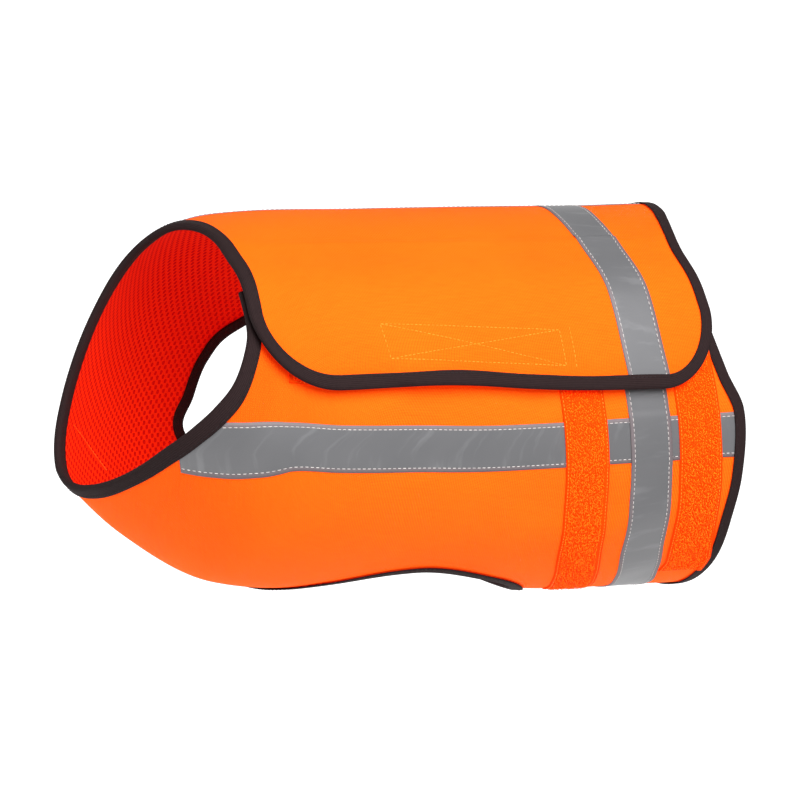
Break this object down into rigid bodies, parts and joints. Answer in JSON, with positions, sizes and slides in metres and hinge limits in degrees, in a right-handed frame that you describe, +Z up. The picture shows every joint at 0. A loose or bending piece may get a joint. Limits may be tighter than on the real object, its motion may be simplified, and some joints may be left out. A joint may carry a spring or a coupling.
{
  "type": "dog high visibility vest",
  "caption": "Wrap-round chest and back vest for a large dog, with two bound leg holes, reflective tapes and a side flap that closes with hook and loop.",
  "frame": {"origin": "middle of the space that holds the dog's body, on the vest's plane of symmetry", "axes": "+X runs along the back towards the tail, +Z is up through the spine, and -Y is the near side, where the flap closes"},
  "size_m": [0.4635, 0.2771, 0.2891],
  "materials": {
    "oxford_cloth": "fluorescent orange woven oxford, matt, with a fine coarse-threaded weave",
    "mesh_lining": "red-orange knitted eyelet mesh",
    "binding": "black woven polyester binding tape, slightly ribbed",
    "reflective_tape": "silver-grey glass-bead reflective tape, satin, with small creases",
    "loop_fabric": "orange brushed loop tape, fuzzy",
    "hook_tape": "orange nylon hook tape"
  },
  "bodies": {
    "vest": {"vest_outer": "oxford_cloth", "vest_lining": "mesh_lining", "neck_binding": "binding", "rear_binding": "binding", "wing_top_binding": "binding", "near_leg_binding": "binding", "far_leg_binding": "binding", "near_side_tape": "reflective_tape", "far_side_tape": "reflective_tape", "girth_tape": "reflective_tape", "front_loop_strip": "loop_fabric", "rear_loop_strip": "loop_fabric", "shoulder_loop_patch": "loop_fabric"},
    "flap": {"flap_outer": "oxford_cloth", "flap_lining": "mesh_lining", "flap_binding": "binding", "flap_girth_tape": "reflective_tape", "shoulder_hook_strip": "hook_tape", "front_hook_strip": "hook_tape", "rear_hook_strip": "hook_tape"}
  },
  "joints": [
    {"name": "flap_hinge", "type": "hinge", "parent": "vest", "child": "flap", "pos_m": [0, 0.033, 0.1335], "axis": [-1, 0, 0], "range_deg": [0, 150]}
  ]
}
